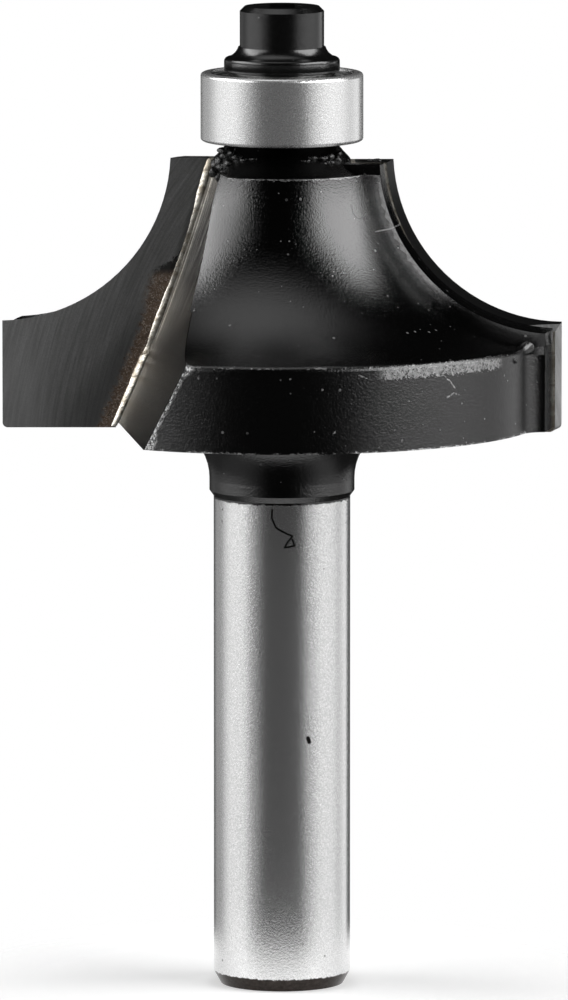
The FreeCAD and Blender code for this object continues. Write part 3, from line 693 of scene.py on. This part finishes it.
tip = {
    "fine": (12.0, 2.0, 0.6),
    "ragged": (4.0, 3.0, 0.65),
    "lines": (1.0, 4.0, 0.7),
    "lineCentre": (-22.0, 28.0),  # the grinding lines are arcs about it that lean with the tip
    "lineScale": (7.0, 0.25),
    "rakeFade": (0.05, 0.02),    # behind the rake face
    "pale": 0.72,
    "dark": 0.36,
    "darkDots": 0.35,
    "shadeWidth": (42.0, 34.0, 0.4, 4.2),
    "shadeShare": 0.55,
    "shadeColour": 0.12,
    "paleAcross": (12.5, 15.0, 0.0, 0.35),
    "paleUp": (40.0, 35.0),
    "paleColour": 0.9,
    "stainWidth": (41.2, 38.5, 1.45, 1.0),
    "stainTop": (43.2, 41.8),
    "stainShare": 0.9,
    "stainColours": ((0.13, 0.085, 0.058), (0.4, 0.28, 0.2)),
    "stainDots": (0.55, 0.85),
    "dotColour": (0.72, 0.6, 0.5),
    "burntHeights": (41.6, 42.2),
    "burntColour": (0.012, 0.01, 0.009),
    "coatedArc": (9.93, 9.98),   # where the paint starts, from the centre of the profile's arc
    "coatedAbove": 39.0,
    "coatedColour": 0.004,
    "metal": (0.66, 0.4),        # clean, and stained
    "roughness": (0.3, 0.45),
    "bumpDepth": 0.000004,
}


def carbide():
    material, surface = newMaterial("carbide")
    where, x, y, z = millimetres(surface)
    across = calc("ABSOLUTE", x)
    centre = wheelCentre()[0]
    toCentre = vectorCalc("SUBTRACT", (centre.x + gullet["brazeWidth"], centre.y, 0), joined(across, z))
    inset = minus(gullet["wheelRadius"], lengthOf(toCentre))
    front = smoothStep(calc("ABSOLUTE", y), *(gullet["rakeOffset"] + step for step in tip["rakeFade"]))
    fine = grain(where, *tip["fine"])
    ragged = grain(where, *tip["ragged"])
    lineAcross, lineUp = tip["lineCentre"]
    bend = lengthOf(joined(minus(across, lineAcross), minus(z, lineUp)))
    outScale, upScale = tip["lineScale"]
    lines = grain(joined(times(bend, outScale), times(z, upScale)), *tip["lines"])
    colour = blend(lines, tip["dark"], tip["pale"])
    colour = blend(times(fine, tip["darkDots"]), colour, tip["dark"] * 0.6)
    width = straightStep(z, *tip["shadeWidth"])
    shade = times(smoothStep(inset, width, times(width, 0.25)), front, tip["shadeShare"])
    colour = blend(shade, colour, tip["shadeColour"])
    outward = times(smoothStep(across, *tip["paleAcross"]), smoothStep(z, *tip["paleUp"]), front)
    colour = blend(outward, colour, tip["paleColour"])

    # Flux burnt on beside the braze
    width = times(smoothStep(z, *tip["stainWidth"]), smoothStep(z, *tip["stainTop"]))
    stainEdge = plus(inset, times(minus(ragged, 0.5), 0.5))
    stain = times(smoothStep(stainEdge, width, times(width, 0.55)), front)
    burnt = blend(ragged, *tip["stainColours"])
    burnt = blend(smoothStep(fine, *tip["stainDots"]), burnt, tip["dotColour"])
    burnt = blend(smoothStep(z, *tip["burntHeights"]), burnt, tip["burntColour"])
    colour = blend(times(stain, tip["stainShare"]), colour, burnt)

    # Paint that reached over the back of the tip, up to near its turned edge
    radius = roundTheAxis(x, y)[0]
    arc = lengthOf(joined(minus(body["arcReach"], radius), minus(body["arcHeight"], z)))
    coated = times(smoothStep(plus(arc, times(ragged, 0.1)), *tip["coatedArc"]),
                   over(z, tip["coatedAbove"]), left(front))
    setInput(surface, "Base Color", blend(coated, colour, tip["coatedColour"]))
    setInput(surface, "Metallic", times(spread(stain, *tip["metal"]), left(coated)))
    setInput(surface, "Roughness", spread(stain, *tip["roughness"]))
    normal = bump(surface, lines, tip["bumpDepth"])
    bump(surface, fine, tip["bumpDepth"], normal)
    return material


dress(["carbide_tip_1", "carbide_tip_2"], carbide())


# Braze: the seams of the CAD model, and over each a bead that flowed out of it

brazeSizes = {
    "pale": (0.93, 0.89, 0.8),
    "dull": (0.5, 0.45, 0.37),
    "burnt": (0.2, 0.16, 0.12),
    "dullTones": (0.3, 0.75),
    "burntTones": (0.7, 0.95, 0.0, 0.4),
    "roughness": (0.28, 0.5),
    "bumpDepth": 0.000006,
    "aroundSteps": 14,
    "alongSteps": 420,
    "sink": 0.02,                # how far the bead's feet go under both faces, and its corner under the seam
    "cornerSink": 0.06,
    "bulgeRun": (0.35, 0.94, 0.0),
    # Waves to the millimetre times two pi, and the number that divides each wave
    "waves": ((3.1, 5.3, 9.7, 17.0, 31.0, 47.0), (4, 4, 5, 6, 7, 9)),
    "widthWaves": 0.2,
    "bulgeWaves": 0.25,
    # Height, width on the tip, width up the gullet's wall, and bulge of the bead
    "bead": [
        (32.86, 0.06, 0.08, 0.04), (33.4, 0.08, 0.12, 0.06), (34.6, 0.12, 0.18, 0.07),
        (36.2, 0.16, 0.26, 0.09), (37.0, 0.14, 0.32, 0.11), (37.35, 0.05, 0.08, 0.03),
        (37.7, 0.04, 0.05, 0.02), (38.3, 0.08, 0.08, 0.04), (39.2, 0.14, 0.1, 0.06),
        (40.6, 0.1, 0.06, 0.04), (41.4, 0.06, 0.04, 0.03), (43.2, 0.03, 0.03, 0.02),
        (44.4, 0.03, 0.03, 0.02), (45.6, 0.06, 0.06, 0.03), (46.3, 0.12, 0.12, 0.06),
        (47.4, 0.16, 0.13, 0.07), (48.2, 0.14, 0.11, 0.06), (48.6, 0.08, 0.06, 0.03)],
}


def silverBraze():
    material, surface = newMaterial("silverBraze")
    where = millimetres(surface)[0]
    fine = grain(where, 9.0, 3.0, 0.65)
    patchy = grain(where, 2.0, 3.0, 0.6)
    dull = smoothStep(patchy, *brazeSizes["dullTones"])
    colour = blend(dull, brazeSizes["pale"], brazeSizes["dull"])
    burnt = smoothStep(fine, *brazeSizes["burntTones"])
    setInput(surface, "Base Color", blend(burnt, colour, brazeSizes["burnt"]))
    setInput(surface, "Metallic", 1.0)
    setInput(surface, "Roughness", spread(fine, *brazeSizes["roughness"]))
    bump(surface, fine, brazeSizes["bumpDepth"])
    return material


def makeBead(name, turned, seed, material):
    # A profile carried up the tip's inner edge. At each height it leaves the rake face a little outside
    # the edge, bulges over the corner and meets the gullet's wall a little way up it; below, it closes
    # through the corner under both faces. Sines of unlike lengths make its width and bulge uneven.
    centre = wheelCentre()[0]
    table = np.array(brazeSizes["bead"])
    up = np.linspace(table[0, 0], table[-1, 0], brazeSizes["alongSteps"])
    onTip, onWall, bulge = (np.interp(up, table[:, 0], table[:, column]) for column in (1, 2, 3))
    phase = np.random.default_rng(seed).uniform(0, 2 * np.pi, 6)
    rates, divisors = brazeSizes["waves"]
    uneven = sum(np.sin(up * rate + shift) / count for rate, shift, count in zip(rates, phase, divisors))
    onTip = onTip * (1 + brazeSizes["widthWaves"] * uneven)
    bulge = bulge * (1 + brazeSizes["bulgeWaves"] * np.roll(uneven, 9))

    edge = centre.x - np.sqrt(gullet["wheelRadius"] ** 2 - (up - centre.y) ** 2)
    tipEdge = edge + gullet["brazeWidth"]
    rakePlane = np.full_like(up, -gullet["rakeOffset"])
    outer = np.stack([tipEdge + onTip, rakePlane - brazeSizes["sink"], up], -1)
    wallRun = np.array([-sweepSlope, 1.0, riseSlope])
    inner = np.stack([edge - brazeSizes["sink"], rakePlane, up], -1) + onWall[:, None] * wallRun
    corner = np.stack([edge + gullet["brazeWidth"] * 0.6, rakePlane - brazeSizes["cornerSink"], up], -1)
    turn = np.linspace(0, np.pi, brazeSizes["aroundSteps"])[None, :, None]
    straight = outer[:, None] * (1 + np.cos(turn)) / 2 + inner[:, None] * (1 - np.cos(turn)) / 2
    arch = straight + np.sin(turn) * bulge[:, None, None] * np.array(brazeSizes["bulgeRun"])
    rows = np.concatenate([arch, corner[:, None]], 1)
    if turned:
        rows = rows * np.array([-1, -1, 1])
    steps, points = rows.shape[:2]
    ends = [list(range(points)), [(steps - 1) * points + number for number in reversed(range(points))]]
    finishPiece(name, rows.reshape(-1, 3), bandQuads(steps, points).tolist() + ends, material)


# Crumbs of paint where the gullet runs out on the shoulder, on a wing's top and on the flange's rim

crumb = {
    "rings": 9,
    "sectors": 14,
    "swell": 0.2,
    "ripple": 0.13,
    "grain": (7.0, 3.0, 0.7),
    "tones": (0.6, 0.9),
    "colours": (0.001, 0.03),
    "roughness": (0.15, 0.35),
    "bumpDepth": 0.00003,
    # Centre, and reach across, in depth and up
    "lumps": [
        (-3.45, -0.45, 49.15, 0.3, 0.25, 0.2), (-3.25, -1.75, 48.95, 0.35, 0.3, 0.25),
        (-2.88, -2.0, 49.15, 0.28, 0.25, 0.2), (-2.55, -2.7, 48.95, 0.35, 0.22, 0.2),
        (-2.15, -3.05, 48.85, 0.3, 0.2, 0.14), (-3.1, -2.65, 48.6, 0.32, 0.25, 0.22),
        (-3.45, -2.3, 48.35, 0.35, 0.25, 0.25), (-3.8, -0.7, 48.35, 0.35, 0.3, 0.3),
        (-3.6, -1.5, 48.6, 0.35, 0.3, 0.3), (-3.25, -3.25, 48.2, 0.4, 0.2, 0.12),
        (-3.62, -2.3, 47.75, 0.25, 0.2, 0.25), (-3.95, -1.6, 48.0, 0.3, 0.25, 0.3),
        (-1.6, -3.3, 48.95, 0.3, 0.15, 0.08), (1.3, -3.5, 48.85, 0.35, 0.15, 0.1),
        (1.75, -3.3, 49.0, 0.3, 0.15, 0.14), (2.3, -3.0, 48.95, 0.35, 0.2, 0.15),
        (2.8, -2.5, 49.0, 0.25, 0.2, 0.2), (2.75, -2.8, 48.7, 0.3, 0.2, 0.15),
        (3.2, -2.2, 48.75, 0.25, 0.2, 0.25), (3.3, -1.7, 49.1, 0.2, 0.2, 0.15),
        (5.55, -1.0, 48.62, 0.3, 0.2, 0.12), (5.1, -0.8, 48.6, 0.2, 0.2, 0.1),
        (4.6, -1.3, 48.2, 0.2, 0.15, 0.2), (4.45, -6.0, 38.15, 0.2, 0.3, 0.1),
        (13.35, -6.55, 37.55, 0.25, 0.15, 0.25)],
}


def paintCrumb():
    material, surface = newMaterial("paintCrumb")
    fine = grain(millimetres(surface)[0], *crumb["grain"])
    pale = smoothStep(fine, *crumb["tones"])
    setInput(surface, "Base Color", blend(pale, *crumb["colours"]))
    setInput(surface, "Roughness", spread(fine, *crumb["roughness"]))
    setInput(surface, "IOR", bodyFinish["index"])
    bump(surface, fine, crumb["bumpDepth"])
    return material


def makeCrumbs(material):
    # Each lump is a ball of rings and sectors with closed poles, stretched to its reach, and its radius
    # swells and shrinks with sines of its two angles at seeded phases
    rings, sectors = crumb["rings"], crumb["sectors"]
    random = np.random.default_rng(5)
    tilt = np.linspace(0, np.pi, rings + 2)[1:-1, None]
    turn = np.linspace(0, 2 * np.pi, sectors, endpoint=False)[None, :]
    ball = np.stack([np.sin(tilt) * np.cos(turn), np.sin(tilt) * np.sin(turn),
                     np.cos(tilt) * np.ones_like(turn)], -1)
    quads = bandQuads(rings, sectors)
    northPole = rings * sectors
    top = fan(northPole, 0, sectors)
    bottom = fan(northPole + 1, (rings - 1) * sectors, sectors)[:, [0, 2, 1]]
    points, faces = [], []
    for number, lump in enumerate(crumb["lumps"]):
        phase = random.uniform(0, 2 * np.pi, 4)
        swell = (1 + crumb["swell"] * np.sin(3 * turn + phase[0]) * np.sin(2 * tilt + phase[1])
                 + crumb["ripple"] * np.sin(5 * turn + phase[2]) * np.sin(4 * tilt + phase[3]))
        shape = np.vstack([(ball * swell[..., None]).reshape(-1, 3), [[0, 0, 1], [0, 0, -1]]])
        points.append(shape * np.array(lump[3:]) + np.array(lump[:3]))
        start = number * (rings * sectors + 2)
        faces += (quads + start).tolist() + (top + start).tolist() + (bottom + start).tolist()
    finishPiece("paint_crumbs", np.vstack(points), faces, material)


makeCrumbs(paintCrumb())
braze = silverBraze()
dress(["braze_seam_1", "braze_seam_2"], braze)
makeBead("braze_bead_1", False, 11, braze)
makeBead("braze_bead_2", True, 12, braze)
print("body, tips and braze dressed")


# Bearing, washer and screw

ring = {
    "colours": (0.8, 0.95),
    "groundStretch": (1, 1, 2.4),
    "dots": (0.1, 0.12),
    "dotShare": 0.6,
    "dotColour": 0.05,
    "metal": (0.72, 0.9),
    "roughness": (0.2, 0.3),
    "bumpDepth": 0.0000025,
}


def groundSteel():
    material, surface = newMaterial("groundSteel")
    where = millimetres(surface)[0]
    fine = grain(where, 11.0, 2.0, 0.6)
    ground = grain(stretched(where, ring["groundStretch"]), 8.0, 3.0, 0.7)
    cell, chances = speckle(where, 1.6)
    dots = times(flecks(cell, chances[0], *ring["dots"]), ring["dotShare"])
    colour = blend(dots, blend(ground, *ring["colours"]), ring["dotColour"])
    setInput(surface, "Base Color", colour)
    setInput(surface, "Metallic", spread(ground, *ring["metal"]))
    setInput(surface, "Roughness", spread(fine, *ring["roughness"]))
    bump(surface, fine, ring["bumpDepth"])
    return material


plain = {"darker": 0.75, "turnedStretch": (0.4, 0.4, 6.0), "turnedShare": 0.3, "rougher": 0.1,
         "bumpDepth": 0.000001}


def plainMetal(name, colour, roughness):
    material, surface = newMaterial(name)
    where = millimetres(surface)[0]
    fine = grain(where, 6.0, 3.0)
    turned = grain(stretched(where, plain["turnedStretch"]), 2.0, 3.0)
    darker = tuple(plain["darker"] * part for part in colour)
    mixed = blend(times(turned, plain["turnedShare"]), blend(fine, darker, colour), darker)
    setInput(surface, "Base Color", mixed)
    setInput(surface, "Metallic", 1.0)
    setInput(surface, "Roughness", spread(fine, roughness, roughness + plain["rougher"]))
    bump(surface, fine, plain["bumpDepth"])
    return material


oxide = {
    "colours": (0.001, 0.005),
    "rubbedColour": 0.3,
    "dots": (0.14, 0.14),
    "patches": (0.3, 0.8),
    "roughness": (0.15, 0.25),
    "bumpDepth": 0.000003,
    "rimTop": (54.62, 54.5),     # the washer's rim swells a little between these heights, so it faces up
    "rimBase": (53.85, 54.0),
    "rimDepth": 0.00028,
}


def blackOxide():
    material, surface = newMaterial("blackOxide")
    where, _, _, z = millimetres(surface)
    fine = grain(where, 11.0, 2.0, 0.6)
    ragged = grain(where, 5.0, 3.0, 0.65)
    patchy = grain(where, 1.2, 3.0, 0.6)
    cell, chances = speckle(where, 3.0)
    rubbed = times(flecks(cell, chances[0], *oxide["dots"]), smoothStep(patchy, *oxide["patches"]))
    black = blend(fine, *oxide["colours"])
    setInput(surface, "Base Color", blend(rubbed, black, oxide["rubbedColour"]))
    setInput(surface, "Metallic", rubbed)
    setInput(surface, "Roughness", spread(ragged, *oxide["roughness"]))
    setInput(surface, "IOR", bodyFinish["index"])
    onRim = times(smoothStep(z, *oxide["rimTop"]), smoothStep(z, *oxide["rimBase"]))
    normal = bump(surface, z, oxide["rimDepth"], strength=onRim)
    bump(surface, fine, oxide["bumpDepth"], normal)
    return material


# Nodes, colour and least roughness
plainMetals = {
    "polishedSteel": (["bearing_inner_ring"], (0.72, 0.72, 0.71), 0.12),
    "ballSteel": ([f"bearing_ball_{number}" for number in range(1, 9)], (0.78, 0.78, 0.77), 0.06),
    "cageSteel": (["bearing_cage"], (0.55, 0.53, 0.5), 0.3),
    "shieldSteel": (["bearing_shield_top", "bearing_shield_bottom"], (0.16, 0.16, 0.16), 0.3),
    "springSteel": (["shield_snap_ring_top", "shield_snap_ring_bottom"], (0.4, 0.4, 0.4), 0.3),
}

dress(["bearing_outer_ring"], groundSteel())
for metal, (nodes, colour, roughness) in plainMetals.items():
    dress(nodes, plainMetal(metal, colour, roughness))
dress(["retaining_washer", "cap_screw"], blackOxide())
print("bearing, washer and screw dressed")


# Floor: a pale disc that fades into the white background and keeps the bit's shadow

floorSizes = {
    "radius": 0.026,
    "level": -0.00002,
    "rings": 6,
    "sectors": 96,
    "fade": (24.0, 12.0),        # clear and whole at these millimetres from the axis
    "colour": 0.8,
    "lift": 0.3,                 # glow that lifts the paper to white where the camera or a mirror sees it
}


def discGrid(radius, level, rings, sectors):
    # Rings of points at even radii about the axis, joined by quads, with a fan at the centre
    ringRadius = np.linspace(radius / rings, radius, rings)[:, None]
    turn = np.linspace(0, 2 * np.pi, sectors, endpoint=False)[None, :]
    points = np.stack([ringRadius * np.cos(turn), ringRadius * np.sin(turn),
                       np.full((rings, sectors), level)], -1).reshape(-1, 3)
    points = np.vstack([points, [[0, 0, level]]])
    return points, bandQuads(rings, sectors).tolist() + fan(rings * sectors, 0, sectors).tolist()


def makeFloor():
    points, faces = discGrid(*(floorSizes[name] for name in ("radius", "level", "rings", "sectors")))
    mesh = bpy.data.meshes.new("floor")
    mesh.from_pydata(points.tolist(), [], faces)
    floor = bpy.data.objects.new("floor", mesh)
    scene.collection.objects.link(floor)
    material = bpy.data.materials.new("floorPaper")
    tree = emptyTree(material)
    paper = tree.nodes.new("ShaderNodeBsdfDiffuse")
    setInput(paper, "Color", tint(floorSizes["colour"]))
    shown = smoothStep(lengthOf(millimetres(paper)[0]), *floorSizes["fade"])
    ray = tree.nodes.new("ShaderNodeLightPath")
    seen = largest(*(ray.outputs[f"Is {kind} Ray"] for kind in ("Camera", "Glossy", "Transmission")))
    lift = addNode("Emission", {"Color": tint(1.0), "Strength": times(seen, floorSizes["lift"])})
    lit = addNode("AddShader", {0: paper.outputs[0], 1: lift.outputs[0]})
    clear = tree.nodes.new("ShaderNodeBsdfTransparent")
    mixed = addNode("MixShader", {0: shown, 1: clear.outputs[0], 2: lit.outputs[0]})
    addNode("OutputMaterial", {"Surface": mixed.outputs[0]})
    mesh.materials.append(material)


makeFloor()


# Studio: two soft boxes, a dim one overhead and the lit paper below the horizon, by direction.
# Around is the angle from the camera's side, positive towards +X; above is the angle over the horizon.
# Steps are given as two angles, with the levels at both where they aren't 0 and 1.

studio = {
    "boxLevel": 4.6,
    "frontPaperLevel": 0.02,
    "overheadLevel": 0.78,
    "darkLevel": 0.006,
    # Inner edge, outer edge, and how the top edge climbs outwards
    "rightBox": ((34, 46), (114, 98), (42, 84, 40, 53)),
    "leftBox": ((38, 52), (126, 108), (47, 97, 39, 50)),
    "boxTopFade": (2.0, -3.0),
    "boxBaseFade": (0.0, 7.0),
    "leftDimming": (50, 100, 0.3, 1.0),
    "leftLowLevel": 0.9,
    "leftLowEnd": (10, 25),
    "overheadAxis": (-sin(radians(8)), sin(radians(4)), cos(radians(9))),
    "overheadFade": (34, 3),
    # The paper is brightest near the horizon, and past the boxes only there
    "paperStart": (28, 38),
    "paperTop": (4.0, -2.0),
    "low": (-12, -17),
    "rightClimb": (34, 70, 0.08, 0.76),
    "rightDip": (97, 108, 1.0, 0.72),
    "rightFarClimb": (115, 138, 1.0, 1.8),
    "rightEnd": (144, 140),
    "rightLowLoss": (92, 108, 0.5, 0.97),
    "leftClimb": (34, 58, 0.06, 0.32),
    "leftHorizon": (54, 68, 0.0, 0.52),
    "leftFarFall": (100, 125, 1.0, 0.3),
    "leftEnd": (158, 149),
    "leftLow": (1.0, 0.7),
    # White paper behind the bit, for what its surfaces mirror at a glance
    "backdropAside": (170, 177),
    "backdropTop": (0, -4),
    "backdropBase": (-34, -26),
}


def softBox(around, above, inner, outer, topClimb):
    # Between an inner and an outer edge around, and under a top edge that climbs outwards
    top = straightStep(around, *topClimb)
    return times(smoothStep(around, *inner), smoothStep(around, *outer),
                 smoothStep(minus(above, top), *studio["boxTopFade"]),
                 smoothStep(above, *studio["boxBaseFade"]))


def paperLight(around, leftAround, above):
    low = smoothStep(above, *studio["low"])
    lowLoss = times(low, smoothStep(around, *studio["rightLowLoss"]))
    right = times(straightStep(around, *studio["rightClimb"]),
                  smoothStep(around, *studio["rightDip"]),
                  straightStep(around, *studio["rightFarClimb"]),
                  smoothStep(around, *studio["rightEnd"]),
                  smoothStep(around, *studio["paperStart"]), left(lowLoss))
    nearHorizon = times(straightStep(leftAround, *studio["leftHorizon"]), left(low))
    leftSide = times(plus(straightStep(leftAround, *studio["leftClimb"]), nearHorizon),
                     smoothStep(leftAround, *studio["paperStart"]),
                     smoothStep(leftAround, *studio["leftEnd"]),
                     straightStep(leftAround, *studio["leftFarFall"]), spread(low, *studio["leftLow"]))
    return times(plus(right, leftSide, studio["frontPaperLevel"]), smoothStep(above, *studio["paperTop"]))


def makeStudio():
    scene.world = bpy.data.worlds.new("studio")
    tree = emptyTree(scene.world)
    direction = tree.nodes.new("ShaderNodeTexCoord").outputs["Object"]
    axes = addNode("SeparateXYZ", {"Vector": direction})
    x, y, z = (axes.outputs[name] for name in "XYZ")
    around = calc("DEGREES", roundTheAxis(x, y)[1])
    above = calc("DEGREES", calc("ARCSINE", z))
    leftAround = times(around, -1.0)

    rightBox = softBox(around, above, *studio["rightBox"])
    leftBox = softBox(leftAround, above, *studio["leftBox"])
    dimmed = straightStep(leftAround, *studio["leftDimming"])
    leftBox = times(leftBox, mix(smoothStep(above, *studio["leftLowEnd"]), studio["leftLowLevel"], dimmed))
    fromAxis = vectorCalc("DOT_PRODUCT", direction, Vector(studio["overheadAxis"]).normalized())
    overhead = smoothStep(fromAxis, *(cos(radians(angle)) for angle in studio["overheadFade"]))
    light = largest(times(rightBox, studio["boxLevel"]), times(leftBox, studio["boxLevel"]),
                    times(overhead, studio["overheadLevel"]),
                    paperLight(around, leftAround, above), studio["darkLevel"])
    backdrop = times(smoothStep(calc("ABSOLUTE", around), *studio["backdropAside"]),
                     smoothStep(above, *studio["backdropTop"]),
                     smoothStep(above, *studio["backdropBase"]))
    ray = tree.nodes.new("ShaderNodeLightPath")
    shown = largest(ray.outputs["Is Camera Ray"], ray.outputs["Is Transmission Ray"],
                    times(ray.outputs["Is Glossy Ray"], backdrop))
    background = addNode("Background", {"Color": tint(1.0), "Strength": mix(shown, light, 1.0)})
    addNode("OutputWorld", {"Surface": background.outputs[0]})


makeStudio()


# Camera

cameraSizes = {"above": 7.4, "distance": 0.72, "target": (0.00012, 0.0, 0.02855), "lens": 442.7, "clip": 0.01}


def makeCamera():
    camera = bpy.data.objects.new("camera", bpy.data.cameras.new("camera"))
    scene.collection.objects.link(camera)
    camera.data.lens = cameraSizes["lens"]
    camera.data.clip_start = cameraSizes["clip"]
    rise = radians(cameraSizes["above"])
    towards = Vector((0, -cos(rise), sin(rise)))
    place = Vector(cameraSizes["target"]) + towards * cameraSizes["distance"]
    camera.matrix_world = Matrix.Translation(place) @ towards.to_track_quat("Z", "Y").to_matrix().to_4x4()
    scene.camera = camera


makeCamera()
print("floor, studio and camera made")
